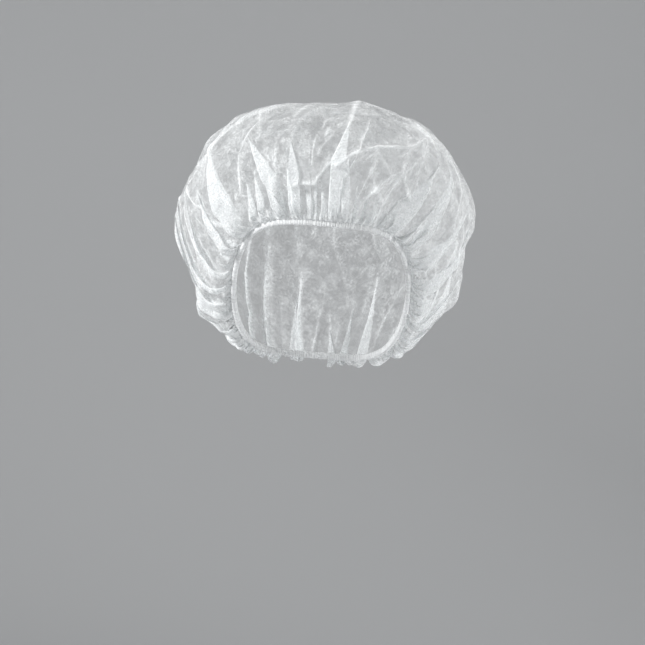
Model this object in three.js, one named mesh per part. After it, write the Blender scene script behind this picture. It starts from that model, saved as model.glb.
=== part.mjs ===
// Disposable bouffant hair cover cap, in the shape that it takes when it is worn.
// A round sheet of nonwoven cloth is gathered at its edge into a hem that holds an elastic loop.
// The loop is high at the front, comes down along the sides and is low at the back.
// Above it the cloth puffs out into a soft bag with long pleats, which sags at the back.
//
// Millimetres. +X is the left side as worn, +Y the back and +Z up.
// The origin is the middle of the elastic loop, halfway between its highest and lowest points.
// An azimuth is 0 at the front and grows towards +X.
// A place on the cloth is its azimuth and its way: 0 at the hem, 1 at the crown's middle.

import * as THREE from 'three';

// The elastic loop's path.
const RIM_HALF_WIDTH = 69;
const RIM_HALF_DEPTH = 79;
const RIM_HALF_DROP = 51.5; // the loop's front is this far above the origin and its back this far below

// The bag's reach from the origin, and the place of the cloth's middle on top of it.
const CROWN_HALF_WIDTH = 116.5;
const CROWN_FRONT = 94;
const CROWN_BACK = 150;
const CROWN_TOP = 153.5;
const MIDDLE_BACK = 40;

// The cloth's length from the hem to its middle: half of a round sheet of 533 mm.
const CLOTH_RADIUS = 266.5;

// The real cloth is about 0.1 mm thick, and the walls stand in for it.
const CROWN_WALL = 1.2;
const HEM_WALL = 1;
const ELASTIC_WIDTH = 3.2;
const ELASTIC_THICKNESS = 1;
const CLEARANCE = 0.3; // between the elastic and the hem, and between the hem and the crown
const HEM_MARGIN = 0.8; // the hem's outer leg stands this far above the elastic

// Gathers, which start small at the hem, are deepest just above it and fade out up the crown.
const GATHERS = 32;
const HEM_RIPPLE = 0.3;
const GATHER_DEPTH = 2.2;
const GATHER_FULL = 0.05; // the way at which they are deepest
const GATHER_END = 0.2; // the way at which they are gone

// The height and half width of a full pleat.
const FOLD_RISE = 6.5;
const FOLD_WIDTH = 9;
const FOLD_TAPER = 0.35; // the share of a pleat's length over which its end fades

// Just above the hem the crown flares out: its size there, as shares of the loop's own half width and half depth.
const FLARE = { way: 0.07, width: 1.13, front: 1.07, back: 1.16, middle: 0.04,
  liftFront: 0.09, liftSide: -0.03, liftBack: -0.01 };

// Sections of the crown above that.
// width: half width, as a share of CROWN_HALF_WIDTH.
// front, back, middle: how far the section's front, back and widest point lie, as shares of CROWN_FRONT,
// CROWN_BACK and CROWN_BACK. A negative front lies behind the origin.
// liftFront, liftSide, liftBack: height there, as a share of the height from the rim to CROWN_TOP.
const SECTIONS = [
  { way: 0.18, width: 0.765, front: 0.965, back: 0.8, middle: 0.09, liftFront: 0.25, liftSide: 0, liftBack: 0 },
  { way: 0.32, width: 0.9, front: 1, back: 0.95, middle: 0.13, liftFront: 0.45, liftSide: 0.14, liftBack: 0.13 },
  { way: 0.47, width: 1, front: 0.95, back: 1, middle: 0.16, liftFront: 0.64, liftSide: 0.37, liftBack: 0.34 },
  { way: 0.62, width: 0.925, front: 0.78, back: 0.955, middle: 0.2, liftFront: 0.8, liftSide: 0.595, liftBack: 0.57 },
  { way: 0.77, width: 0.71, front: 0.44, back: 0.8, middle: 0.24, liftFront: 0.925, liftSide: 0.8, liftBack: 0.79 },
  { way: 0.9, width: 0.375, front: 0, back: 0.54, middle: 0.26, liftFront: 0.985, liftSide: 0.945, liftBack: 0.94 },
];

// Pleats that stand proud of the bag, and creases, with a negative rise, that sink into it.
// azimuth, low: the lower end's place. to, high: the upper end's place. Azimuths are in degrees.
// rise, width: as shares of FOLD_RISE and FOLD_WIDTH.
const FOLDS = [
  // the front
  { azimuth: -29, low: 0, to: -33, high: 0.53, rise: 1, width: 1.1 },
  { azimuth: -18, low: 0, to: -16, high: 0.43, rise: 0.9, width: 0.75 },
  { azimuth: -14, low: 0.21, to: -5, high: 0.21, rise: 0.5, width: 0.6 },
  { azimuth: -6, low: 0.21, to: 3, high: 0.36, rise: 0.6, width: 0.6 },
  { azimuth: 3, low: 0, to: 2, high: 0.36, rise: 0.9, width: 0.75 },
  { azimuth: 3, low: 0.33, to: 7, high: 0.58, rise: 0.8, width: 0.8 },
  { azimuth: -5, low: 0.36, to: -4, high: 0.7, rise: -0.6, width: 1.2 },
  { azimuth: 10, low: 0, to: 7, high: 0.32, rise: 0.8, width: 0.6 },
  { azimuth: 17, low: 0, to: 14, high: 0.2, rise: 0.7, width: 0.6 },
  { azimuth: 26, low: 0, to: 25, high: 0.17, rise: 0.6, width: 0.6 },
  { azimuth: 3, low: 0.31, to: 18, high: 0.45, rise: 0.9, width: 0.8 },
  { azimuth: 16, low: 0.44, to: 38, high: 0.58, rise: 1, width: 0.8 },
  { azimuth: 24, low: 0.2, to: 17, high: 0.4, rise: -0.6, width: 0.7 },
  { azimuth: 36, low: 0.26, to: 29, high: 0.46, rise: 0.5, width: 0.7 },
  // the left side
  { azimuth: 44, low: 0, to: 44, high: 0.46, rise: 1, width: 1.1 },
  { azimuth: 55, low: 0.05, to: 52, high: 0.68, rise: 0.9, width: 1.2 },
  { azimuth: 63, low: 0.15, to: 66, high: 0.72, rise: -0.9, width: 1.5 },
  { azimuth: 72, low: 0, to: 76, high: 0.46, rise: 1.2, width: 1.1 },
  { azimuth: 84, low: 0.12, to: 88, high: 0.7, rise: -0.9, width: 1.4 },
  { azimuth: 97, low: 0, to: 94, high: 0.34, rise: 1, width: 1 },
  { azimuth: 110, low: 0.05, to: 104, high: 0.6, rise: 0.8, width: 1.2 },
  // the back
  { azimuth: 124, low: 0.1, to: 119, high: 0.66, rise: -0.8, width: 1.6 },
  { azimuth: 134, low: 0, to: 131, high: 0.42, rise: 1, width: 1.1 },
  { azimuth: 150, low: 0.06, to: 144, high: 0.62, rise: 0.8, width: 1.2 },
  { azimuth: 163, low: 0.1, to: 158, high: 0.5, rise: -0.8, width: 1.5 },
  { azimuth: 172, low: 0, to: 170, high: 0.56, rise: 1, width: 1.2 },
  { azimuth: 186, low: 0, to: 190, high: 0.36, rise: 0.8, width: 0.9 },
  { azimuth: 199, low: 0.08, to: 204, high: 0.64, rise: -0.8, width: 1.6 },
  { azimuth: 212, low: 0, to: 216, high: 0.5, rise: 1.1, width: 1.2 },
  { azimuth: 228, low: 0.04, to: 231, high: 0.38, rise: 0.8, width: 1 },
  // the right side
  { azimuth: 240, low: 0.12, to: 246, high: 0.7, rise: -0.8, width: 1.5 },
  { azimuth: 253, low: 0, to: 256, high: 0.52, rise: 1, width: 1.1 },
  { azimuth: 280, low: 0, to: 274, high: 0.36, rise: 1, width: 1 },
  { azimuth: 289, low: 0.1, to: 286, high: 0.7, rise: -0.9, width: 1.4 },
  { azimuth: 305, low: 0, to: 306, high: 0.52, rise: 1, width: 1.1 },
  { azimuth: 306, low: 0.5, to: 328, high: 0.7, rise: 0.8, width: 1 },
  { azimuth: 312, low: 0, to: 326, high: 0.34, rise: 0.9, width: 0.8 },
  // long ridges that run from the outline's corners over the top
  { azimuth: 48, low: 0.5, to: 22, high: 0.85, rise: 0.5, width: 0.9 },
  { azimuth: 95, low: 0.38, to: 68, high: 0.8, rise: 0.8, width: 1 },
  { azimuth: 128, low: 0.4, to: 122, high: 0.8, rise: 0.7, width: 1 },
  { azimuth: 168, low: 0.42, to: 168, high: 0.82, rise: 0.5, width: 0.9 },
  { azimuth: 224, low: 0.4, to: 236, high: 0.82, rise: 0.7, width: 1 },
  { azimuth: 261, low: 0.38, to: 298, high: 0.8, rise: 0.6, width: 1.1 },
  { azimuth: 294, low: 0.5, to: 318, high: 0.82, rise: 0.5, width: 0.9 },
  // broad hollows and swellings, which give the outline its corners and long flat stretches
  { azimuth: 80, low: 0.45, to: 88, high: 0.6, rise: 0.8, width: 1.3 },
  { azimuth: 74, low: 0.52, to: 64, high: 0.82, rise: -0.6, width: 2.1 },
  { azimuth: 96, low: 0.34, to: 100, high: 0.54, rise: -1, width: 1.4 },
  { azimuth: 98, low: 0.26, to: 106, high: 0.42, rise: 1.3, width: 1.6 },
  { azimuth: 118, low: 0.1, to: 124, high: 0.36, rise: -0.9, width: 1.6 },
  { azimuth: 250, low: 0.14, to: 257, high: 0.32, rise: 1.2, width: 1.8 },
  { azimuth: 270, low: 0.46, to: 290, high: 0.8, rise: -0.8, width: 2.2 },
  { azimuth: 302, low: 0.7, to: 316, high: 0.94, rise: -0.6, width: 2 },
];

// Rows of the crown's mesh, from the hem upwards, in groups that each have half the columns of the one below.
const ROW_GROUPS = [
  [0, 0.02, 0.05, 0.085, 0.125, 0.17, 0.22, 0.27, 0.33, 0.39, 0.45, 0.51, 0.58],
  [0.65, 0.72, 0.79, 0.85],
  [0.9, 0.94, 0.975],
];
const CROWN_COLUMNS = 4 * GATHERS;
const HEM_COLUMNS = 4 * GATHERS;
const ELASTIC_COLUMNS = 2 * GATHERS;
const STEP = 1e-3; // for slopes taken by difference, in radians and as a share of the way

const CLOTH_WHITE = 0xeef1f2;
const ELASTIC_WHITE = 0xf8f8f6;

const TURN = 2 * Math.PI;
const radians = (degrees) => degrees * Math.PI / 180;
const smooth = (x) => THREE.MathUtils.smoothstep(x, 0, 1);
const vector = (x, y, z) => new THREE.Vector3(x, y, z);

// The elastic loop's centreline.
function rimPoint(azimuth) {
  return vector(
    RIM_HALF_WIDTH * Math.sin(azimuth),
    -RIM_HALF_DEPTH * Math.cos(azimuth),
    RIM_HALF_DROP * Math.sin(Math.PI / 2 * Math.cos(azimuth)),
  );
}

// The loop's own directions: outward, and up into the cap.
function rimFrame(azimuth) {
  const along = rimPoint(azimuth + STEP).sub(rimPoint(azimuth - STEP)).normalize();
  const out = vector(Math.sin(azimuth) / RIM_HALF_WIDTH, -Math.cos(azimuth) / RIM_HALF_DEPTH, 0);
  out.addScaledVector(along, -out.dot(along)).normalize();
  return { out, up: out.clone().cross(along) };
}

// A point beside the loop, that far outward and up into the cap.
function besideRim(azimuth, outward, upward) {
  const { out, up } = rimFrame(azimuth);
  return rimPoint(azimuth).addScaledVector(out, outward).addScaledVector(up, upward);
}

// The hem's section: the gap that holds the elastic and the walls round it.
const HEM = {
  gap: ELASTIC_THICKNESS / 2 + CLEARANCE,
  face: ELASTIC_THICKNESS / 2 + CLEARANCE + HEM_WALL,
  floor: -ELASTIC_WIDTH / 2 - CLEARANCE,
  foot: -ELASTIC_WIDTH / 2 - CLEARANCE - HEM_WALL,
  innerTop: ELASTIC_WIDTH / 2,
  outerTop: ELASTIC_WIDTH / 2 + HEM_MARGIN,
};

// The sections in millimetres, with the rim below them and the cloth's middle on top.
const RINGS = [
  { way: 0, width: RIM_HALF_WIDTH, front: RIM_HALF_DEPTH, back: RIM_HALF_DEPTH, middle: 0,
    liftFront: 0, liftSide: 0, liftBack: 0 },
  {
    ...FLARE,
    width: FLARE.width * RIM_HALF_WIDTH,
    front: FLARE.front * RIM_HALF_DEPTH,
    back: FLARE.back * RIM_HALF_DEPTH,
    middle: FLARE.middle * CROWN_BACK,
  },
  ...SECTIONS.map((s) => ({
    ...s,
    width: s.width * CROWN_HALF_WIDTH,
    front: s.front * CROWN_FRONT,
    back: s.back * CROWN_BACK,
    middle: s.middle * CROWN_BACK,
  })),
  { way: 1, width: 0, front: -MIDDLE_BACK, back: MIDDLE_BACK, middle: MIDDLE_BACK,
    liftFront: 1, liftSide: 1, liftBack: 1 },
];

const rise = (i, key) => (RINGS[i + 1][key] - RINGS[i][key]) / (RINGS[i + 1].way - RINGS[i].way);

// The slope of a column of RINGS at one of its rows.
function slopeAt(i, key) {
  if (i === 0) return rise(0, key);
  if (i === RINGS.length - 1) return rise(i - 1, key);
  const below = RINGS[i].way - RINGS[i - 1].way;
  const above = RINGS[i + 1].way - RINGS[i].way;
  return (rise(i - 1, key) * above + rise(i, key) * below) / (below + above);
}

// A column of RINGS at any way, on a smooth curve through its rows.
function section(key, way) {
  let i = 0;
  while (i < RINGS.length - 2 && way > RINGS[i + 1].way) i += 1;
  const span = RINGS[i + 1].way - RINGS[i].way;
  const t = (way - RINGS[i].way) / span;
  return (2 * t ** 3 - 3 * t ** 2 + 1) * RINGS[i][key]
    + (t ** 3 - 2 * t ** 2 + t) * span * slopeAt(i, key)
    + (3 * t ** 2 - 2 * t ** 3) * RINGS[i + 1][key]
    + (t ** 3 - t ** 2) * span * slopeAt(i + 1, key);
}

// The bag without its folds.
function bagPoint(azimuth, way) {
  const ahead = Math.cos(azimuth);
  const aside = Math.sin(azimuth);
  const middle = section('middle', way);
  const reach = ahead > 0 ? section('front', way) + middle : section('back', way) - middle;
  const end = ahead > 0 ? section('liftFront', way) : section('liftBack', way);
  const lift = ahead ** 2 * end + aside ** 2 * section('liftSide', way);
  const rim = rimPoint(azimuth);
  const seat = besideRim(azimuth, HEM.face, HEM.outerTop + CLEARANCE).sub(rim);
  return vector(
    section('width', way) * aside,
    middle - reach * ahead,
    rim.z + (CROWN_TOP - rim.z) * lift,
  ).addScaledVector(seat, 1 - smooth(way / FLARE.way));
}

// How far one fold lifts the cloth at a place whose distance round the crown from azimuth 0 is azimuth times radius.
function foldRise(fold, azimuth, way, radius) {
  const turned = azimuth - radians(fold.azimuth);
  const across = (turned - TURN * Math.round(turned / TURN)) * radius;
  const upward = (way - fold.low) * CLOTH_RADIUS;
  const run = radians(fold.to - fold.azimuth) * radius;
  const climb = (fold.high - fold.low) * CLOTH_RADIUS;
  const t = THREE.MathUtils.clamp((across * run + upward * climb) / (run ** 2 + climb ** 2), 0, 1);
  const off = Math.hypot(across - run * t, upward - climb * t) / (fold.width * FOLD_WIDTH);
  const start = fold.low > 0 ? smooth(t / FOLD_TAPER) : 1;
  return fold.rise * FOLD_RISE * Math.exp(-(off ** 2)) * start * smooth((1 - t) / FOLD_TAPER);
}

// How far the gathers, the highest pleat and the deepest crease there move the cloth.
function relief(azimuth, way) {
  const bag = bagPoint(azimuth, way);
  const radius = Math.hypot(bag.x, bag.y - section('middle', way));
  const depth = THREE.MathUtils.lerp(HEM_RIPPLE, GATHER_DEPTH, smooth(way / GATHER_FULL));
  const gathers = depth * (1 - smooth(way / GATHER_END)) * Math.cos(GATHERS * azimuth);
  const folds = FOLDS.map((fold) => foldRise(fold, azimuth, way, radius));
  return gathers + (Math.max(...folds) + Math.min(...folds)) * smooth(way / GATHER_FULL);
}

// The direction out of a surface, from its slopes round the crown and up it.
function outwardOf(surface, azimuth, way) {
  const low = Math.max(0, way - STEP);
  const round = surface(azimuth + STEP, way).sub(surface(azimuth - STEP, way));
  const upward = surface(azimuth, low + 2 * STEP).sub(surface(azimuth, low));
  return round.cross(upward).normalize();
}

function clothPoint(azimuth, way) {
  return bagPoint(azimuth, way).addScaledVector(outwardOf(bagPoint, azimuth, way), relief(azimuth, way));
}

function solid(points, triangles) {
  const geometry = new THREE.BufferGeometry();
  geometry.setAttribute('position', new THREE.Float32BufferAttribute(points.flatMap((p) => p.toArray()), 3));
  geometry.setIndex(triangles.flat());
  geometry.computeVertexNormals();
  return geometry;
}

// Triangles between two rings of vertex numbers. The upper ring has as many as the lower, or half.
function bridge(lower, upper) {
  const triangles = [];
  const pace = lower.length / upper.length;
  for (let i = 0; i < upper.length; i += 1) {
    const next = (i + 1) % upper.length;
    for (let k = 0; k < pace; k += 1) {
      const a = lower[pace * i + k];
      const b = lower[(pace * i + k + 1) % lower.length];
      triangles.push([a, b, upper[k === 0 ? i : next]]);
    }
    triangles.push([lower[(pace * i + 1) % lower.length], upper[next], upper[i]]);
  }
  return triangles;
}

function crownGeometry() {
  const points = [];
  const outer = [];
  const inner = [];
  ROW_GROUPS.forEach((ways, group) => {
    const columns = CROWN_COLUMNS / 2 ** group;
    for (const way of ways) {
      const faceRing = [];
      const liningRing = [];
      for (let i = 0; i < columns; i += 1) {
        const azimuth = TURN * i / columns;
        const face = clothPoint(azimuth, way);
        const out = way > 0 ? outwardOf(clothPoint, azimuth, way) : rimFrame(azimuth).out;
        faceRing.push(points.push(face) - 1);
        liningRing.push(points.push(face.clone().addScaledVector(out, -CROWN_WALL)) - 1);
      }
      outer.push(faceRing);
      inner.push(liningRing);
    }
  });
  const middle = vector(0, MIDDLE_BACK, CROWN_TOP);
  const faceMiddle = points.push(middle) - 1;
  const liningMiddle = points.push(middle.clone().setZ(CROWN_TOP - CROWN_WALL)) - 1;
  const closed = (rings, top) => [
    ...rings.slice(1).flatMap((ring, i) => bridge(rings[i], ring)),
    ...rings.at(-1).map((a, i, ring) => [a, ring[(i + 1) % ring.length], top]),
  ];
  const turned = ([a, b, c]) => [a, c, b];
  return solid(points, [
    ...closed(outer, faceMiddle),
    ...closed(inner, liningMiddle).map(turned),
    ...bridge(outer[0], inner[0]).map(turned),
  ]);
}

// A closed ring whose section is a list of [outward, upward] corners beside the loop, from the outer top down.
function ringGeometry(sectionAt, columns) {
  const points = [];
  const rings = [];
  for (let i = 0; i < columns; i += 1) {
    const azimuth = TURN * i / columns;
    rings.push(sectionAt(azimuth).map(([outward, upward]) => points.push(besideRim(azimuth, outward, upward)) - 1));
  }
  return solid(points, rings.flatMap((ring, i) => bridge(ring, rings[(i + 1) % columns])));
}

// The hem is the sheet's edge, folded under the elastic and up behind it.
function hemSection(azimuth) {
  const ripple = HEM_RIPPLE * Math.cos(GATHERS * azimuth);
  return [
    [HEM.face + ripple, HEM.outerTop],
    [HEM.face + ripple, HEM.foot],
    [-HEM.face - ripple, HEM.foot],
    [-HEM.face - ripple, HEM.innerTop],
    [-HEM.gap, HEM.innerTop],
    [-HEM.gap, HEM.floor],
    [HEM.gap, HEM.floor],
    [HEM.gap, HEM.outerTop],
  ];
}

function elasticSection() {
  const side = ELASTIC_THICKNESS / 2;
  const edge = ELASTIC_WIDTH / 2;
  return [[side, edge], [side, -edge], [-side, -edge], [-side, edge]];
}

function piece(name, geometry, color, roughness) {
  const mesh = new THREE.Mesh(geometry, new THREE.MeshStandardMaterial({ color, roughness, metalness: 0 }));
  mesh.name = name;
  return mesh;
}

const cap = new THREE.Group();
cap.name = 'hair_cover_cap';
cap.add(
  piece('crown', crownGeometry(), CLOTH_WHITE, 0.85),
  piece('hem', ringGeometry(hemSection, HEM_COLUMNS), CLOTH_WHITE, 0.85),
  piece('elastic', ringGeometry(elasticSection, ELASTIC_COLUMNS), ELASTIC_WHITE, 0.6),
);

export default cap;
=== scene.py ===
import math

import bpy
import numpy as np
from mathutils import Matrix, Vector


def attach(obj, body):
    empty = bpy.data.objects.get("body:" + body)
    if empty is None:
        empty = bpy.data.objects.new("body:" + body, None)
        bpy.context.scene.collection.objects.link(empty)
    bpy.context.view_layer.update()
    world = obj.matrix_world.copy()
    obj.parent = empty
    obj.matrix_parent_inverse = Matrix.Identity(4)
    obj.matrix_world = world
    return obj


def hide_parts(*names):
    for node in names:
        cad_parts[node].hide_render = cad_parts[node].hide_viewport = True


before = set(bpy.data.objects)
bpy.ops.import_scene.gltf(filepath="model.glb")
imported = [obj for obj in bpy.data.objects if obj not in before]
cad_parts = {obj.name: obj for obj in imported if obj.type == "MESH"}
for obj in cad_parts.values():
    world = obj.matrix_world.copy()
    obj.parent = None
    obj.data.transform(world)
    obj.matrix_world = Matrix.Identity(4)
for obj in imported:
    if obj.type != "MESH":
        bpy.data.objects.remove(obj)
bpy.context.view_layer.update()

MM = 0.001
TAU = 2 * math.pi
rng = np.random.default_rng(7)

# The elastic loop and the bag round it, in millimetres, as the CAD model has them. +X is the left side as worn,
# +Y the back and +Z up. A place on the cloth is its azimuth, which is 0 at the front and grows towards +X, and
# its way, which is 0 at the hem and 1 in the middle of the sheet.
RIM_HALF_WIDTH, RIM_HALF_DEPTH, RIM_HALF_DROP = 69.0, 79.0, 51.5
CROWN_HALF_WIDTH, CROWN_FRONT, CROWN_BACK, CROWN_TOP, MIDDLE_BACK = 116.5, 94.0, 150.0, 153.5, 40.0
SHEET_RADIUS = 266.5

# The hem's outer face, and where the crown's edge sits on it: that far out from the loop and up from it.
HEM_FACE = 1.8
SEAT_OUT, SEAT_UP = HEM_FACE + 0.25, 1.2

# The way at which the flare above the hem ends.
FLARE = 0.07

# way, half width, front, back, middle, and the lift at the front, sides and back
SECTIONS = np.array([
    (0, RIM_HALF_WIDTH, RIM_HALF_DEPTH, RIM_HALF_DEPTH, 0, 0, 0, 0),
    (FLARE, 1.13 * RIM_HALF_WIDTH, 1.07 * RIM_HALF_DEPTH, 1.16 * RIM_HALF_DEPTH, 0.04 * CROWN_BACK,
     0.09, -0.03, -0.01),
    (0.18, 0.765 * CROWN_HALF_WIDTH, 0.965 * CROWN_FRONT, 0.8 * CROWN_BACK, 0.09 * CROWN_BACK, 0.25, 0, 0),
    (0.32, 0.9 * CROWN_HALF_WIDTH, CROWN_FRONT, 0.95 * CROWN_BACK, 0.13 * CROWN_BACK, 0.45, 0.14, 0.13),
    (0.47, CROWN_HALF_WIDTH, 0.95 * CROWN_FRONT, CROWN_BACK, 0.16 * CROWN_BACK, 0.64, 0.37, 0.34),
    (0.62, 0.925 * CROWN_HALF_WIDTH, 0.78 * CROWN_FRONT, 0.955 * CROWN_BACK, 0.2 * CROWN_BACK, 0.8, 0.595, 0.57),
    (0.77, 0.71 * CROWN_HALF_WIDTH, 0.44 * CROWN_FRONT, 0.8 * CROWN_BACK, 0.24 * CROWN_BACK, 0.925, 0.8, 0.79),
    (0.9, 0.375 * CROWN_HALF_WIDTH, 0, 0.54 * CROWN_BACK, 0.26 * CROWN_BACK, 0.985, 0.945, 0.94),
    (1, 0, -MIDDLE_BACK, MIDDLE_BACK, MIDDLE_BACK, 1, 1, 1),
])

# Pleats where the sheet is folded over itself. Each one's visible edge runs through three places, given as
# azimuth in degrees and way, from the hem upwards. lap says how far it folds over and lift how far its top layer
# stands off, both in millimetres, and side which way that layer reaches from the edge: 1 towards +X.
PLEATS = [
    # the front
    dict(path=[(-29, 0), (-29, 0.24), (-34, 0.53)], lap=10.5, lift=6, side=1),
    dict(path=[(-21, 0), (-20, 0.15), (-18, 0.3)], lap=5, lift=3, side=1),
    dict(path=[(-15, 0), (-14.5, 0.27), (-16, 0.45)], lap=9.5, lift=6, side=-1),
    dict(path=[(-8, 0), (-8, 0.1), (-9, 0.2)], lap=3, lift=2, side=-1),
    dict(path=[(-3, 0), (-3, 0.1), (-4, 0.2)], lap=3, lift=2, side=1),
    dict(path=[(1, 0), (1, 0.33), (6, 0.6)], lap=10, lift=6, side=1),
    dict(path=[(9.5, 0), (6.5, 0.18), (6.5, 0.35)], lap=7, lift=5, side=1),
    dict(path=[(16, 0), (14, 0.12), (13, 0.22)], lap=4, lift=3, side=1),
    dict(path=[(26, 0), (26, 0.1), (25, 0.2)], lap=4, lift=3, side=-1),
    # the left side
    dict(path=[(35, 0), (36, 0.15), (36, 0.3)], lap=5, lift=3, side=-1),
    dict(path=[(41, 0), (43, 0.26), (44.5, 0.5)], lap=12, lift=6, side=-1),
    dict(path=[(47, 0), (50, 0.2), (51, 0.35)], lap=5, lift=4, side=1),
    dict(path=[(58, 0), (57, 0.25), (53, 0.68)], lap=8, lift=5, side=-1),
    dict(path=[(71, 0), (70, 0.25), (74, 0.46)], lap=9, lift=6, side=-1),
    # the right side
    dict(path=[(-42, 0), (-37, 0.16), (-33.5, 0.33)], lap=6, lift=4, side=1),
    dict(path=[(-49, 0), (-44, 0.14), (-40, 0.28)], lap=6, lift=4, side=1),
    dict(path=[(-57, 0), (-57, 0.3), (-54, 0.56)], lap=14, lift=7, side=1),
    dict(path=[(-67, 0), (-65, 0.2), (-66, 0.42)], lap=7, lift=5, side=-1),
]

# The stretches of azimuth that the table leaves bare, and the mean distance between the short pleats, in degrees.
BARE = ((82, 173), (-173, -76))
SHORT_STEP = 3.1

# Up to FRONT_REACH the short pleats stand FRONT_HIGHER times as high, and beyond BACK_REACH their laps and lifts
# are BACK_SMALLER times as large.
FRONT_REACH, FRONT_HIGHER = 60, 1.45
BACK_REACH, BACK_SMALLER = 110, 0.6


def foot(pleat):
    """The azimuth at which the pleat starts."""
    return pleat["path"][0][0]


def leaning(azimuth, high, lean, bend, lap, lift):
    """A pleat up to the way high. Its top lies lean degrees aside, and its middle the share bend of that."""
    path = [(azimuth, 0), (azimuth + bend * lean, 0.5 * high), (azimuth + lean, high)]
    return dict(path=path, lap=lap, lift=lift, side=rng.choice([-1, 1]))


for start, end in BARE:
    azimuth = start
    while azimuth < end:
        high = rng.uniform(0.26, 0.62)
        lean = rng.uniform(-5, 5)
        PLEATS.append(leaning(azimuth, high, lean, 0.4, rng.uniform(6, 12), rng.uniform(3.5, 6.5)))
        azimuth += rng.uniform(6.5, 10.5)
PLEATS.sort(key=foot)

# Short pleats just above the hem, in the gaps between the long ones.
for before, after in zip(PLEATS[:-1], PLEATS[1:]):
    start, end = foot(before), foot(after)
    count = round((end - start) / SHORT_STEP)
    for i in range(1, count):
        azimuth = start + (end - start) * (i + rng.uniform(-0.2, 0.2)) / count
        high = rng.uniform(0.07, 0.19) * (FRONT_HIGHER if abs(azimuth) < FRONT_REACH else 1)
        lean = rng.uniform(-1.6, 1.6)
        size = 1 if abs(azimuth) < BACK_REACH else BACK_SMALLER
        lap, lift = size * rng.uniform(2.4, 4.6), size * rng.uniform(0.6, 1.4)
        PLEATS.append(leaning(azimuth, high, lean, 0.5, lap, lift))
PLEATS.sort(key=foot)

# Ridges that cross the pleats or carry on above them. height and width are in millimetres, and the fourth entry,
# where given, is the strength of a painted highlight along the ridge's top, from 0 to 1, which leaves its shape
# alone.
RIDGES = [
    dict(path=[(-7, 0.2), (-3, 0.27), (2, 0.35)], height=4, width=4, crisp_highlight=0.8),
    dict(path=[(-15, 0.21), (-5, 0.205)], height=4, width=4, crisp_highlight=0.8),
    dict(path=[(3, 0.31), (8, 0.37), (17, 0.44), (23, 0.46), (30, 0.49), (38, 0.58)], height=7, width=5, crisp_highlight=1),
    dict(path=[(17, 0.43), (17, 0.31), (21, 0.24), (26, 0.19)], height=3, width=4, crisp_highlight=0.7),
    dict(path=[(30, 0.49), (30, 0.36), (38, 0.26)], height=3.5, width=4, crisp_highlight=0.7),
    dict(path=[(-5, 0.7), (-3, 0.48), (-1, 0.34)], height=-4, width=9),
    dict(path=[(-34, 0.5), (-32, 0.6), (-31, 0.72)], height=5, width=7),
    dict(path=[(-18, 0.44), (-22, 0.38), (-21, 0.28)], height=2.5, width=4),
    dict(path=[(52, 0.6), (54, 0.7), (60, 0.82)], height=5, width=8),
    dict(path=[(-54, 0.52), (-44, 0.62), (-32, 0.7)], height=5, width=7),
    # corners that show in the outline, and the long ridges that run from them over the top
    dict(path=[(-100, 0.36), (-92, 0.5), (-76, 0.66), (-60, 0.82)], height=6, width=10),
    dict(path=[(-66, 0.5), (-58, 0.66), (-40, 0.84)], height=4, width=8),
    dict(path=[(96, 0.38), (90, 0.5), (74, 0.64), (66, 0.82)], height=6, width=9),
    dict(path=[(48, 0.5), (40, 0.7), (20, 0.86)], height=4, width=8),
    dict(path=[(12, 0.56), (14, 0.7), (40, 0.9)], height=3, width=6),
    dict(path=[(128, 0.4), (134, 0.6), (118, 0.82)], height=5, width=9),
    dict(path=[(168, 0.42), (160, 0.62), (170, 0.84)], height=4, width=8),
    dict(path=[(-136, 0.4), (-140, 0.62), (-120, 0.84)], height=5, width=9),
    dict(path=[(-168, 0.5), (-172, 0.66), (-150, 0.86)], height=4, width=8),
    # broad hollows and swellings, which give the outline its long straight stretches
    dict(path=[(-84, 0.56), (-74, 0.68)], height=-6, width=22),
    dict(path=[(-56, 0.8), (-46, 0.85)], height=-4, width=18),
    dict(path=[(-120, 0.18), (-130, 0.13)], height=-5, width=14),
    dict(path=[(-103, 0.22), (-112, 0.23)], height=8, width=16),
    dict(path=[(94, 0.44), (100, 0.43)], height=-7, width=13),
    dict(path=[(80, 0.53), (87, 0.51)], height=5, width=12),
    dict(path=[(74, 0.6), (66, 0.72)], height=-4, width=20),
    dict(path=[(100, 0.37), (105, 0.31)], height=9, width=15),
    dict(path=[(118, 0.28), (124, 0.18)], height=-6, width=15),
    dict(path=[(126, 0.14), (132, 0.12)], height=-4, width=14),
]
RIDGE_POWER = 1.4  # 2 would round the ridges' tops, and 1 makes them a sharp edge
# The width of the painted highlight along a ridge's top, in millimetres.
RIDGE_HIGHLIGHT_WIDTH = 1.8

# Gathers round the sheet, as how many there are and the seed of their unevenness. The hem and the cloth just
# above it share the first two. The others reach higher up.
TICKS, GATHERS = (240, 1), (118, 2)
WIDE_GATHERS, BROAD_GATHERS = (56, 3), (27, 4)
GATHER_DEPTH, WIDE_DEPTH, BROAD_DEPTH = 1.5, 1.3, 2.6
GATHER_REACH, REACH_SPREAD, LEAST_REACH = 0.11, 0.06, 0.03
REACH_NOISE = dict(shortest=9, longest=40, count=12, seed=13)
LOOP_RADIUS = 75  # roughly, to measure round the loop in millimetres
WIDE_REACH = 0.16
BROAD_REACH = (0.2, 0.5)  # they fade from the first way on, over the second
# The crests of the fine gathers get this much painted highlight.
GATHER_HIGHLIGHT = 0.9

# Creases and smooth noise over the flat sheet, in millimetres.
LONG_CREASES = dict(count=60, lengths=(30, 75), heights=(1.6, 3.6), widths=(4, 7), seed=6)
SHORT_CREASES = dict(count=190, lengths=(10, 26), heights=(0.6, 1.4), widths=(1.8, 3.2), seed=8)
# The short creases carry this share of the painted highlight along their crests.
SHORT_HIGHLIGHT = 0.6
ROLLING, ROLLING_DEPTH = dict(shortest=80, longest=150, count=9, seed=5), 1.2
FINE, FINE_DEPTH = dict(shortest=9, longest=18, count=20, seed=9), 0.25

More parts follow.
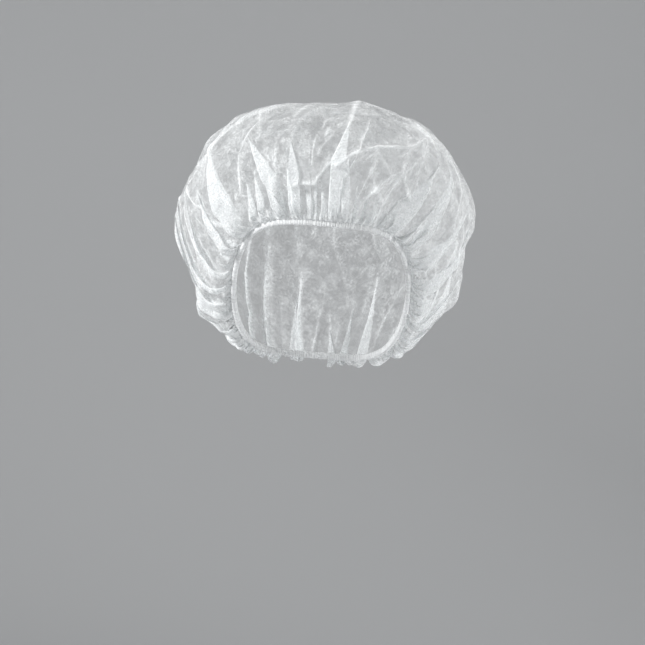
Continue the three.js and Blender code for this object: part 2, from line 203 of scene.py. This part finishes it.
# The way above the hem at which each kind of relief has its full height. The whole sheet is drawn in by DRAWN_IN,
# because its folds stand out from it.
FULL_AT = dict(lift=0.13, wide=0.06, broad=0.12, crumple=0.2, drawn_in=0.15)
DRAWN_IN = 2.6

# The cloth runs for FOLD_RUN laps through a fold. It turns back at two shares of that run, and it lies in three
# layers from DOUBLE_FROM laps before the fold's start to DOUBLE_TO laps beyond it.
FOLD_RUN = 1.3
TURN_BACK, TURN_ON = 0.124, 0.876
DOUBLE_FROM, DOUBLE_TO = 0.777, 0.077
EDGE_WIDTH, EDGE_BLUR = 2.2, 0.6  # of the painted highlight line where it turns, and of the double cloth's border, in millimetres
# Where the cloth lies double it gets this much painted highlight, partly standing for the double cloth's real
# density.
DOUBLE_CLOTH_HIGHLIGHT = 0.36
FULL_HIGHLIGHT_LAP = 4  # a pleat's painted edge highlight is full from this lap on
EARLY = 0.2  # the top layer starts to rise this share of the run before the fold

# A pleat's lap grows to FULL_LAP times what it says and shrinks to nothing over the upper half. Each kind of
# pleat has the height at which it would be full, and how full it already is at the hem.
FULL_LAP = 1.5
SHORT_LAP = 4.8
SHORT_SWELL, LONG_SWELL = (0.3, 0.4), (0.62, 0.24)
LAP_END, LIFT_END = 0.5, 0.7  # the shares of a pleat's length over which its lap and its lift end
LIFT_SCALE = 1.15

# Points along each side of the sheet's grid, how much closer they lie at the front, and how the cloth is relaxed.
SIDE = 311
CLOSER, CLOSER_FROM = 0.38, 0.5
RELAX_TURNS, SWELL, BEND_STIFFNESS, HOLD = 22, 1.01, 0.12, 0.03
DAMPING, PULL, HEM_HOLD = 0.85, 0.22, 0.3


def smooth(x):
    x = np.clip(x, 0, 1)
    return x * x * (3 - 2 * x)


def section(way):
    """The columns of SECTIONS at each way, on a smooth curve through the rows."""
    x, y = SECTIONS[:, 0], SECTIONS[:, 1:]
    h = np.diff(x)[:, None]
    rise = np.diff(y, axis=0) / h
    slope = np.vstack([rise[0], (rise[:-1] * h[1:] + rise[1:] * h[:-1]) / (h[1:] + h[:-1]), rise[-1]])
    i = np.clip(np.searchsorted(x, way, side="right") - 1, 0, len(x) - 2)
    span = (x[i + 1] - x[i])[..., None]
    t = (way - x[i])[..., None] / span
    return ((2 * t**3 - 3 * t**2 + 1) * y[i] + (t**3 - 2 * t**2 + t) * span * slope[i]
            + (3 * t**2 - 2 * t**3) * y[i + 1] + (t**3 - t**2) * span * slope[i + 1])


def rim(azimuth):
    """The elastic loop's centreline."""
    return np.stack([
        RIM_HALF_WIDTH * np.sin(azimuth), -RIM_HALF_DEPTH * np.cos(azimuth),
        RIM_HALF_DROP * np.sin(np.pi / 2 * np.cos(azimuth)),
    ], -1)


def unit(v):
    return v / np.maximum(np.linalg.norm(v, axis=-1, keepdims=True), 1e-9)


def beside_rim(azimuth, outward, upward):
    """A point beside the elastic loop, that far outward and up into the cap."""
    step = 1e-3
    along = unit(rim(azimuth + step) - rim(azimuth - step))
    out = np.stack([np.sin(azimuth) / RIM_HALF_WIDTH, -np.cos(azimuth) / RIM_HALF_DEPTH, 0 * azimuth], -1)
    out = unit(out - along * (out * along).sum(-1, keepdims=True))
    up = np.cross(out, along)
    return rim(azimuth) + out * np.asarray(outward)[..., None] + up * np.asarray(upward)[..., None]


def bag(azimuth, way):
    """The cap without its folds."""
    width, front, back, middle, lift_front, lift_side, lift_back = np.moveaxis(section(way), -1, 0)
    c, s = np.cos(azimuth), np.sin(azimuth)
    ahead = c > 0
    z = rim(azimuth)[..., 2]
    lift = c * c * np.where(ahead, lift_front, lift_back) + s * s * lift_side
    place = np.stack([
        width * s, middle - np.where(ahead, front + middle, back - middle) * c, z + (CROWN_TOP - z) * lift,
    ], -1)
    seat = beside_rim(azimuth, SEAT_OUT, SEAT_UP) - rim(azimuth)
    return place + seat * (1 - smooth(way / FLARE))[..., None]


def bag_normal(azimuth, way):
    """The direction out of the bag, from its slopes round it and up it."""
    step = 2e-3
    low = np.clip(way - step, 0, 1 - 2 * step)
    round_it = bag(azimuth + step, way) - bag(azimuth - step, way)
    up_it = bag(azimuth, low + 2 * step) - bag(azimuth, low)
    return unit(np.cross(round_it, up_it))


# The length of the bag's rings, from the hem to the middle.
WAYS = np.linspace(0, 1, 101)
rings = bag(*np.meshgrid(np.linspace(-np.pi, np.pi, 361), WAYS))
RING_LENGTHS = np.linalg.norm(np.diff(rings, axis=1), axis=-1).sum(1)


def along_path(path, way):
    """A path's azimuth at each way, in radians, and how far up it that is, from 0 to 1."""
    ways = [w for _, w in path]
    return np.radians(np.interp(way, ways, [a for a, _ in path])), np.clip(way / ways[-1], 0, 1.2)


def gather_wave(azimuth, count, seed):
    """Ridges round the sheet, from 0 in a valley to 1 on a crest, unevenly spaced."""
    r = np.random.default_rng(seed)
    drift = sum(
        r.uniform(0.2, 1.1) * np.sin(round(share * count) * azimuth + r.uniform(0, TAU))
        for share in (0.03, 0.06, 0.11, 0.2, 0.31))
    return 1 - np.abs(np.sin(0.5 * count * azimuth + drift))


def waves(x, y, shortest, longest, count, seed):
    """Smooth noise over the flat sheet, about -1 to 1."""
    r = np.random.default_rng(seed)
    total = np.zeros_like(x)
    for _ in range(count):
        k = TAU / r.uniform(shortest, longest)
        turn = r.uniform(0, TAU)
        total += np.sin(k * (x * math.cos(turn) + y * math.sin(turn)) + r.uniform(0, TAU))
    return total * math.sqrt(2 / count) * 0.6


def crease(noise):
    """Sharp crests, from 0 to 1, where the noise crosses zero."""
    return np.exp(-2.2 * np.abs(noise))


def creases(x, y, count, lengths, heights, widths, seed):
    """Straight creases in the flat sheet, most of them roughly radial. Two in three stand up and the rest sink in.
    Also the strength of a painted highlight along the crests of those that stand up, from 0 to 1."""
    outermost, scatter, crease_highlight_width = 0.92, 0.45, 1.6
    r = np.random.default_rng(seed)
    crests, troughs, crisp_highlight = np.zeros_like(x), np.zeros_like(x), np.zeros_like(x)
    for i in range(count):
        highlight_strength = (0, 0.24, 0.84)[i % 3]
        middle, turn = SHEET_RADIUS * outermost * math.sqrt(r.uniform(0.01, 1)), r.uniform(0, TAU)
        lean = turn + r.normal(0, scatter)
        half, height, width = (r.uniform(*pair) for pair in (lengths, heights, widths))
        px, py = x - middle * math.cos(turn), y - middle * math.sin(turn)
        t = np.clip((px * math.cos(lean) + py * math.sin(lean)) / half, -1, 1)
        off = np.hypot(px - t * half * math.cos(lean), py - t * half * math.sin(lean))
        bump = height * np.exp(-off / width) * (1 - t**4)
        if highlight_strength:
            crests = np.maximum(crests, bump)
            crisp_highlight = np.maximum(crisp_highlight, highlight_strength * np.exp(-((off / crease_highlight_width) ** 2)) * (1 - t**4))
        else:
            troughs = np.maximum(troughs, bump)
    return crests - troughs, crisp_highlight


def ridges(place, way, radius):
    """How far RIDGES lift the sheet, how far they sink it, and a painted highlight along their tops, from 0 to 1.
    """
    crests, hollows, crisp_highlight = np.zeros_like(way), np.zeros_like(way), np.zeros_like(way)
    for ridge in RIDGES:
        points = np.array(ridge["path"], float)
        best = np.full_like(way, 1e9)
        for (a0, w0), (a1, w1) in zip(points[:-1], points[1:]):
            px = (place - math.radians(a0)) * radius
            py = (way - w0) * SHEET_RADIUS
            dx = math.radians(a1 - a0) * radius
            dy = (w1 - w0) * SHEET_RADIUS
            t = np.clip((px * dx + py * dy) / (dx * dx + dy * dy), 0, 1)
            best = np.minimum(best, np.hypot(px - dx * t, py - dy * t))
        height = ridge["height"] * np.exp(-((best / ridge["width"]) ** RIDGE_POWER))
        crests, hollows = np.maximum(crests, height), np.minimum(hollows, height)
        crisp_highlight = np.maximum(crisp_highlight, ridge.get("crisp_highlight", 0) * np.exp(-((best / RIDGE_HIGHLIGHT_WIDTH) ** 2)))
    return crests, hollows, crisp_highlight


def sheet_grid(side):
    """A square grid laid on a round sheet, closer at the front: flat x and y, azimuth and way."""
    a = np.linspace(-1, 1, side)
    across, down = np.meshgrid(a, a, indexing="ij")
    wide = np.abs(across) >= np.abs(down)
    with np.errstate(divide="ignore", invalid="ignore"):
        turn = np.where(wide, np.pi / 4 * down / across, np.pi / 2 - np.pi / 4 * across / down)
    turn = np.nan_to_num(turn)
    radius = np.where(wide, across, down)
    x, y = radius * np.cos(turn), radius * np.sin(turn)
    radius = np.minimum(np.hypot(x, y), 1)
    azimuth = np.arctan2(x, -y)
    azimuth = azimuth - CLOSER * smooth(radius / CLOSER_FROM) * np.sin(azimuth)
    return SHEET_RADIUS * radius * np.sin(azimuth), -SHEET_RADIUS * radius * np.cos(azimuth), azimuth, 1 - radius


def lap_at(pleat, height):
    """How far the pleat folds over, that share of its length up."""
    full_at, at_hem = SHORT_SWELL if pleat["lap"] < SHORT_LAP else LONG_SWELL
    return FULL_LAP * pleat["lap"] * smooth(height / full_at + at_hem) * np.clip((1 - height) / LAP_END, 0, 1)


def fold_over(cloth, start, lap, run):
    """How much of the cloth's own length the fold has taken up at each place."""
    return 2 * lap * smooth((cloth - start) / run)


def fold_edge_highlight(cloth, start, lap, run):
    """A painted highlight along the lines where the cloth turns, and a fainter one where it lies double, partly
    the double cloth's real density, from 0 to 1.
    """
    turning = np.minimum(np.abs(cloth - start - TURN_BACK * run), np.abs(cloth - start - TURN_ON * run))
    below = cloth - start - fold_over(cloth, start, lap, run)
    double = (smooth((DOUBLE_TO * lap - below + EDGE_BLUR) / (2 * EDGE_BLUR))
              * smooth((below + DOUBLE_FROM * lap + EDGE_BLUR) / (2 * EDGE_BLUR)))
    sharp = np.maximum(np.exp(-((turning / EDGE_WIDTH) ** 2)), DOUBLE_CLOTH_HIGHLIGHT * double)
    return sharp * np.clip(lap / FULL_HIGHLIGHT_LAP, 0, 1)


def top_layer(pleat, cloth, start, run):
    """Where the pleat's top layer lies, from 0 to 1. It rises within the fold and sinks back beyond it."""
    rise, fade = (1 + 2 * EARLY) * run, 2.2 * pleat["lap"] + 6
    if pleat["side"] > 0:
        return smooth((cloth - start + EARLY * run) / rise) * (1 - smooth((cloth - start - run) / fade))
    return smooth((start + (1 + EARLY) * run - cloth) / rise) * (1 - smooth((start - cloth) / fade))


def folded_sheet(side):
    """The sheet's points, with its pleats, gathers, ridges and crumples, their azimuth and way, and the painted
    highlight along the folded edges, ridge tops and crease crests each lies on, from 0 to 1, partly the real
    density of double cloth."""
    x, y, azimuth, way = sheet_grid(side)
    ring = np.interp(way, WAYS, RING_LENGTHS)

    # Each fold takes up twice its lap, so the cloth round a ring is longer than the ring by that much.
    cloth = (azimuth + np.pi) / TAU * ring
    used = 0
    folds = []
    for pleat in PLEATS:
        edge, height = along_path(pleat["path"], way)
        lap = lap_at(pleat, height)
        zone = np.minimum(math.radians(2.5 + 0.45 * pleat["lap"]), np.pi - np.abs(edge))
        cloth += 2 * lap * smooth((azimuth - edge) / (2 * zone) + 0.5)
        start = (edge + np.pi) / TAU * ring + pleat["side"] * 0.3 * lap + 0.35 * lap + used
        folds.append((pleat, height, lap, start))
        used = used + 2 * lap

    spot = cloth.copy()
    lift, edges = np.zeros_like(cloth), np.zeros_like(cloth)
    for pleat, height, lap, start in folds:
        run = np.maximum(FOLD_RUN * lap, 1e-3)
        # The painted highlight along each pleat's folded edges.
        edges = np.maximum(edges, fold_edge_highlight(cloth, start, lap, run))
        spot -= fold_over(cloth, start, lap, run)
        over = top_layer(pleat, cloth, start, run)
        lift = np.maximum(lift, pleat["lift"] * smooth((1 - height) / LIFT_END) * over)
    place = spot / np.maximum(ring, 1e-3) * TAU - np.pi

    crests, hollows, ridge_highlight = ridges(place, way, ring / TAU)
    full = {kind: smooth(way / at) for kind, at in FULL_AT.items()}
    wide = WIDE_DEPTH * gather_wave(place, *WIDE_GATHERS) * full["wide"] * np.exp(-way / WIDE_REACH)
    broad_end = 1 - smooth((way - BROAD_REACH[0]) / BROAD_REACH[1])
    broad = BROAD_DEPTH * gather_wave(place, *BROAD_GATHERS) * full["broad"] * broad_end
    long, long_highlight = creases(x, y, **LONG_CREASES)
    short, short_highlight = creases(x, y, **SHORT_CREASES)
    rolling = ROLLING_DEPTH * crease(waves(x, y, **ROLLING))
    fine = FINE_DEPTH * crease(waves(x, y, **FINE))
    crumple = (rolling + long + short + fine) * full["crumple"]
    # Ridge tops and crease crests add their painted highlight to that of the folded edges.
    edges = np.maximum(edges, ridge_highlight)
    edges = np.maximum(edges, np.maximum(long_highlight, SHORT_HIGHLIGHT * short_highlight) * full["crumple"])
    relief = (LIFT_SCALE * lift * full["lift"] + crests + hollows + wide + broad + crumple
              - DRAWN_IN * full["drawn_in"])
    return bag(place, way) + bag_normal(place, way) * relief[..., None], place, way, edges


def gathers(azimuth, way):
    """The fine gathers just above the hem, from 0 in a valley to 1 on a crest, each with a height of its own."""
    reach = GATHER_REACH + REACH_SPREAD * waves(azimuth * LOOP_RADIUS, 0 * azimuth, **REACH_NOISE)
    long = gather_wave(azimuth, *GATHERS) * np.exp(-((way / np.maximum(reach, LEAST_REACH)) ** 1.5))
    short = 0.6 * gather_wave(azimuth, *TICKS) * (1 - smooth(way / FLARE))
    return np.maximum(long, short)


def relax(points, way):
    """Cloth under a little compression: it grows by SWELL, resists bending and is held loosely to where it was."""
    home = points.copy()
    last = points.copy()
    pairs = [
        (np.s_[1:, :], np.s_[:-1, :], 1.0), (np.s_[:, 1:], np.s_[:, :-1], 1.0),
        (np.s_[1:, 1:], np.s_[:-1, :-1], 0.6), (np.s_[1:, :-1], np.s_[:-1, 1:], 0.6),
    ]
    free = smooth(way / FLARE)[..., None]
    growth = 1 + (SWELL - 1) * free
    rests = [np.linalg.norm(points[a] - points[b], axis=-1, keepdims=True) * growth[a] for a, b, _ in pairs]
    fixed = (way < 1e-6)[..., None]
    for _ in range(RELAX_TURNS):
        speed = DAMPING * (points - last)
        last = points.copy()
        points = points + speed
        for (a, b, stiff), rest in zip(pairs, rests):
            gap = points[a] - points[b]
            length = np.maximum(np.linalg.norm(gap, axis=-1, keepdims=True), 1e-6)
            push = PULL * stiff * (1 - rest / length) * gap
            points[a] -= push
            points[b] += push
        for axis in (0, 1):
            curl = np.zeros_like(points)
            inside = [slice(None)] * 3
            inside[axis] = slice(1, -1)
            before, after = list(inside), list(inside)
            before[axis], after[axis] = slice(None, -2), slice(2, None)
            inside, before, after = tuple(inside), tuple(before), tuple(after)
            curl[inside] = (points[before] + points[after]) / 2 - points[inside]
            points[inside] += BEND_STIFFNESS * (curl[inside] - 0.5 * (curl[before] + curl[after]))
        points += (HOLD + HEM_HOLD * (1 - free)) * (home - points)
        points = np.where(fixed, home, points)
    return points


def sharpness(points):
    """How sharply the sheet is folded at each point, from 0 where it is nearly flat to 1 on a crisp edge."""
    flat, crisp_highlight, least_step = 0.12, 0.62, 0.3
    sharp = np.zeros(points.shape[:2])
    whole = np.s_[1:-1, 1:-1]
    for back, on in (
        (np.s_[:-2, 1:-1], np.s_[2:, 1:-1]), (np.s_[1:-1, :-2], np.s_[1:-1, 2:]),
        (np.s_[:-2, :-2], np.s_[2:, 2:]), (np.s_[:-2, 2:], np.s_[2:, :-2]),
    ):
        a, b = points[back] - points[whole], points[on] - points[whole]
        step = (np.linalg.norm(a, axis=-1) + np.linalg.norm(b, axis=-1)) / 2
        bend = np.linalg.norm(unit(a) + unit(b), axis=-1) / np.maximum(step, least_step)
        sharp[whole] = np.maximum(sharp[whole], bend)
    return smooth((sharp - flat) / (crisp_highlight - flat))


def softened(values):
    """Each value inside the grid mixed with its four neighbours."""
    mixed = values.copy()
    mixed[1:-1, 1:-1] = 0.5 * values[1:-1, 1:-1] + 0.15 * (
        values[:-2, 1:-1] + values[2:, 1:-1] + values[1:-1, :-2] + values[1:-1, 2:])
    return mixed


def quads(rows, columns, closed=False):
    """Faces of a grid of points, closed in its second direction if asked."""
    i, j = np.meshgrid(np.arange(rows - 1), np.arange(columns if closed else columns - 1), indexing="ij")
    k = (j + 1) % columns
    corners = [i * columns + j, (i + 1) * columns + j, (i + 1) * columns + k, i * columns + k]
    return np.stack(corners, -1).reshape(-1, 4)


def link(name, data):
    obj = bpy.data.objects.new(name, data)
    bpy.context.scene.collection.objects.link(obj)
    return obj


def make(name, points, material, closed=False, highlight_and_double_cloth=None):
    """A smooth mesh object from rows of points in millimetres, laid out flat row by row."""
    rows, columns = points.shape[:2]
    mesh = bpy.data.meshes.new(name)
    mesh.from_pydata((points.reshape(-1, 3) * MM).tolist(), [], quads(rows, columns, closed).tolist())
    mesh.polygons.foreach_set("use_smooth", np.ones(len(mesh.polygons), bool))
    across = columns if closed else columns - 1
    i, j = np.meshgrid(np.arange(rows - 1), np.arange(across), indexing="ij")
    flat = np.stack([
        np.stack([j, j, j + 1, j + 1], -1) / across, np.stack([i, i + 1, i + 1, i], -1) / (rows - 1)], -1)
    mesh.uv_layers.new(name="OFBake").data.foreach_set("uv", flat.ravel())
    if highlight_and_double_cloth is not None:
        mesh.attributes.new("highlight_and_double_cloth", "FLOAT", "POINT").data.foreach_set("value", np.asarray(highlight_and_double_cloth, float).ravel())
    mesh.materials.append(material)
    return link(name, mesh)


def round_loop(azimuth, out, up):
    """Rows of points round the elastic loop, one row for each corner of a section, closed round the section."""
    rows = beside_rim(np.broadcast_to(azimuth, out.shape), out, up)
    return np.concatenate([rows, rows[:1]])


class Nodes:
    """Short calls for building a material's nodes."""

    def __init__(self, name):
        self.material = bpy.data.materials.new(name)
        self.material.use_nodes = True
        self.tree = self.material.node_tree
        self.tree.nodes.clear()

    def add(self, kind, inputs=None, **settings):
        node = self.tree.nodes.new(kind)
        for key, value in settings.items():
            setattr(node, key, value)
        for key, value in (inputs or {}).items():
            if isinstance(value, bpy.types.NodeSocket):
                self.tree.links.new(value, node.inputs[key])
            else:
                node.inputs[key].default_value = value
        return node

    def math(self, operation, a, b=0.0, clamp=False):
        return self.add("ShaderNodeMath", {0: a, 1: b}, operation=operation, use_clamp=clamp).outputs[0]

    def stretched(self, vector, length, turn):
        """Coordinates drawn out along one direction."""
        return self.add(
            "ShaderNodeMapping", {"Vector": vector, "Scale": (length, 1, 1), "Rotation": turn},
            vector_type="TEXTURE",
        ).outputs["Vector"]

    def noise(self, vector, scale, detail=2.0, distortion=0.0):
        return self.add(
            "ShaderNodeTexNoise", {"Vector": vector, "Scale": scale, "Detail": detail, "Distortion": distortion}
        ).outputs["Fac"]

    def spread(self, value, low, high, to_low=0.0, to_high=1.0):
        return self.add("ShaderNodeMapRange", {
            "Value": value, "From Min": low, "From Max": high, "To Min": to_low, "To Max": to_high,
        }).outputs["Result"]

    def bump(self, height, strength):
        return self.add(
            "ShaderNodeBump", {"Strength": strength, "Distance": 0.0002, "Height": height}).outputs["Normal"]

    def surface(self, shader):
        self.add("ShaderNodeOutputMaterial", {"Surface": shader})
        return self.material


# Four nets of drawn-out fibres, each with the turn and the scale of its noise.
FIBRE_NETS = (((0, 0.3, 0.1), 750), ((0, 1.1, 0.5), 950), ((0, -0.9, -0.5), 650), ((0, 0.5, 1.5), 850))
FIBRE_STRETCH, FIBRE_THINNESS = 6, 22
WEB_SHARE, BLOTCH_SHARE, CLOUD_SHARE = 0.5, 0.22, 0.28
# How much the painted highlight along folded edges and crests adds to the cloth's opacity, which whitens it there.
HIGHLIGHT_OPACITY = 0.7
GLOW = 0.22


def fibre_web(n, place):
    """Thin lines where each net's noise crosses its middle."""
    web = None
    for turn, scale in FIBRE_NETS:
        streak = n.noise(n.stretched(place, FIBRE_STRETCH, turn), scale, 1.5, 0.9)
        off = n.math("ABSOLUTE", n.math("SUBTRACT", streak, 0.5))
        line = n.math("SUBTRACT", 1.0, n.math("MULTIPLY", off, FIBRE_THINNESS), True)
        web = line if web is None else n.math("MAXIMUM", web, line)
    return web


def nonwoven(name, thin, thick, white):
    """Spunbond cloth: a see-through web of fine fibres, denser in blotches, with a painted highlight along its
    folded edges and crests that a mesh attribute adds to its opacity. thin and thick are its opacity where it has
    least and most fibres."""
    n = Nodes(name)
    place = n.add("ShaderNodeTexCoord").outputs["Object"]
    web = fibre_web(n, place)
    blotch = n.spread(n.noise(place, 520, 3, 0.6), 0.4, 0.62)
    cloud = n.spread(n.noise(place, 110, 2), 0.35, 0.65)
    patches = n.math("ADD", n.math("MULTIPLY", blotch, BLOTCH_SHARE), n.math("MULTIPLY", cloud, CLOUD_SHARE))
    cover = n.math("ADD", n.math("MULTIPLY", web, WEB_SHARE), patches, True)
    # The painted highlight along folds and crests, read from a mesh attribute.
    highlight_and_double_cloth = n.add("ShaderNodeAttribute", attribute_name="highlight_and_double_cloth").outputs["Fac"]
    opacity = n.math(
        "ADD", n.spread(cover, 0.32, 0.88, thin, thick), n.math("MULTIPLY", highlight_and_double_cloth, HIGHLIGHT_OPACITY), True)
    bump = n.bump(cover, 0.35)
    front = n.add("ShaderNodeBsdfDiffuse", {"Color": white, "Roughness": 1.0, "Normal": bump}).outputs[0]
    through = n.add("ShaderNodeBsdfTranslucent", {"Color": white, "Normal": bump}).outputs[0]
    cloth = n.add("ShaderNodeMixShader", {0: GLOW, 1: front, 2: through}).outputs[0]
    clear = n.add("ShaderNodeBsdfTransparent").outputs[0]
    return n.surface(n.add("ShaderNodeMixShader", {0: opacity, 1: clear, 2: cloth}).outputs[0])


def knit(name):
    """The elastic's fine rubbery knit."""
    n = Nodes(name)
    grain = n.add("ShaderNodeTexNoise", {"Scale": 900.0, "Detail": 2.0}).outputs["Fac"]
    return n.surface(n.add("ShaderNodeBsdfPrincipled", {
        "Base Color": (0.95, 0.95, 0.945, 1), "Roughness": 0.6, "Normal": n.bump(grain, 0.4)}).outputs[0])


def paper(name):
    n = Nodes(name)
    return n.surface(n.add("ShaderNodeBsdfDiffuse", {"Color": (0.64, 0.65, 0.66, 1)}).outputs[0])


CLOTH = nonwoven("nonwoven", 0.04, 0.66, (0.93, 0.945, 0.95, 1))
HEM_CLOTH = nonwoven("hem_nonwoven", 0.72, 0.98, (0.94, 0.95, 0.955, 1))

points, place, way, edges = folded_sheet(SIDE)
points = relax(points, way)
gather = gathers(place, way)
points += bag_normal(place, way) * (GATHER_DEPTH * gather * smooth(way / 0.012 + 0.2))[..., None]
# Painted highlight: sharp bends, folded edges, ridge tops, crease crests and the crests of the fine gathers are
# made more opaque and so whiter; where the cloth lies double it is partly the cloth's real density.
highlight_and_double_cloth = np.maximum(softened(sharpness(points)), edges)
highlight_and_double_cloth = np.maximum(highlight_and_double_cloth, GATHER_HIGHLIGHT * smooth((gather - 0.45) / 0.5))
crown = make("crown_cloth", points, CLOTH, highlight_and_double_cloth=highlight_and_double_cloth)

# The hem: the sheet's edge folded round the elastic, gathered as the cloth above it is. The section's corners are
# given outward and upward. The first HEM_OUTSIDE of them are its outside, which carries the ticks, and the rest
# line the channel.
HEM_SECTION = np.array([
    (1.35, 2.4), (1.75, 1.6), (HEM_FACE, 0), (HEM_FACE, -1.6), (1.5, -2.5), (0.5, -2.95), (-0.7, -2.9),
    (-1.5, -2.4), (-HEM_FACE, -1.4), (-HEM_FACE, 0.6), (-1.5, 1.6),
    (-1.2, 1.5), (-1.15, -1.8), (1.15, -1.8), (1.15, 2.2),
])
HEM_OUTSIDE = 11
HEM_COLUMNS = 1920
TICK_DEPTH, TICK_MEAN, HEM_WAVE = 0.6, 0.4, 0.25
azimuth = np.linspace(-np.pi, np.pi, HEM_COLUMNS, endpoint=False)
tick = gather_wave(azimuth, *TICKS) - TICK_MEAN
drop = HEM_WAVE * gather_wave(azimuth, *GATHERS)
section_out, section_up = HEM_SECTION[:, :1], HEM_SECTION[:, 1:]
outside = (np.arange(len(HEM_SECTION)) < HEM_OUTSIDE)[:, None]
foot_of_hem = section_up < -2
loop = round_loop(
    azimuth, section_out + np.sign(section_out) * outside * TICK_DEPTH * tick, section_up - foot_of_hem * drop)
# The hem's raised ticks carry a painted highlight, as the crown's crests do.
hem = make("hem_band", loop, HEM_CLOTH, True, np.broadcast_to(np.clip(tick, 0, 1), loop.shape[:2]))

# The elastic: a strip in the hem's channel, with a rib every four columns.
ELASTIC_SECTION = np.array([
    (0.5, 1.5), (0.5, 0.5), (0.5, -0.5), (0.5, -1.5), (-0.5, -1.5), (-0.5, -0.5), (-0.5, 0.5), (-0.5, 1.5),
])
ELASTIC_COLUMNS, COLUMNS_PER_RIB, RIB_DEPTH = 960, 4, 0.12
azimuth = np.linspace(-np.pi, np.pi, ELASTIC_COLUMNS, endpoint=False)
rib = np.cos(np.arange(ELASTIC_COLUMNS) * TAU / COLUMNS_PER_RIB)
out = ELASTIC_SECTION[:, :1] * (1 - RIB_DEPTH * (1 + rib) / 2)
elastic = make("elastic_strip", round_loop(azimuth, out, ELASTIC_SECTION[:, 1:] + 0 * out), knit("elastic"), True)

for obj, node, slot in (
    (crown, "crown", "nonwoven"), (hem, "hem", "hem_nonwoven"), (elastic, "elastic", "elastic"),
):
    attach(obj, "root")
    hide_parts(node)

# A pale floor that bends up into a wall, well clear of the cap, in metres.
HALF, FRONT_END, WALL, WALL_TOP = 4.0, -4.0, 3.0, 4.0
FLOOR, BEND, BEND_STEPS = -0.6, 0.9, 17
profile = [(FRONT_END, FLOOR)] + [
    (WALL - BEND + BEND * math.sin(t), FLOOR + BEND - BEND * math.cos(t))
    for t in np.linspace(0, math.pi / 2, BEND_STEPS)
] + [(WALL, WALL_TOP)]
strip = np.array([[(side * HALF, y, z) for y, z in profile] for side in (-1, 1)]) / MM
make("floor", strip, paper("paper"))

world = bpy.data.worlds.new("studio")
world.use_nodes = True
background = world.node_tree.nodes["Background"]
background.inputs["Color"].default_value = (1, 1, 1, 1)
background.inputs["Strength"].default_value = 0.16
bpy.context.scene.world = world

# Round lamps: place, size in metres and power in watts.
LAMPS = {
    "key": ((-1.7, -1.1, 0.9), 0.35, 56),
    "fill": ((0.9, -2.2, -0.1), 1.0, 7),
    "side": ((1.8, -0.6, 0.4), 0.45, 20),
    "back": ((1.0, 1.8, 1.1), 0.5, 11),
}
LAMP_TARGET = Vector((0, 0.02, 0.05))
for name, (place, size, power) in LAMPS.items():
    light = bpy.data.lights.new(name, "AREA")
    light.shape, light.size, light.energy = "DISK", size, power
    obj = link(name, light)
    obj.location = place
    obj.rotation_euler = (LAMP_TARGET - Vector(place)).to_track_quat("-Z", "Y").to_euler()

# The photograph's view: level with the loop, 2 m off and rolled a little. FRAME and FOCAL are in pixels.
ROLL = math.radians(4.7)
EYE = (0.0035, -2.071, -0.0245)
FRAME, FOCAL, SENSOR = 645, 2614, 36
camera = link("camera", bpy.data.cameras.new("camera"))
camera.data.sensor_width = SENSOR
camera.data.lens = SENSOR * FOCAL / FRAME
right = Vector((math.cos(ROLL), 0, math.sin(ROLL)))
top = Vector((-math.sin(ROLL), 0, math.cos(ROLL)))
turned = Matrix((right, top, Vector((0, -1, 0)))).transposed().to_4x4()
camera.matrix_world = Matrix.Translation(EYE) @ turned
bpy.context.scene.camera = camera
bpy.context.scene.view_settings.view_transform = "Standard"
bpy.context.scene.cycles.transparent_max_bounces = 32
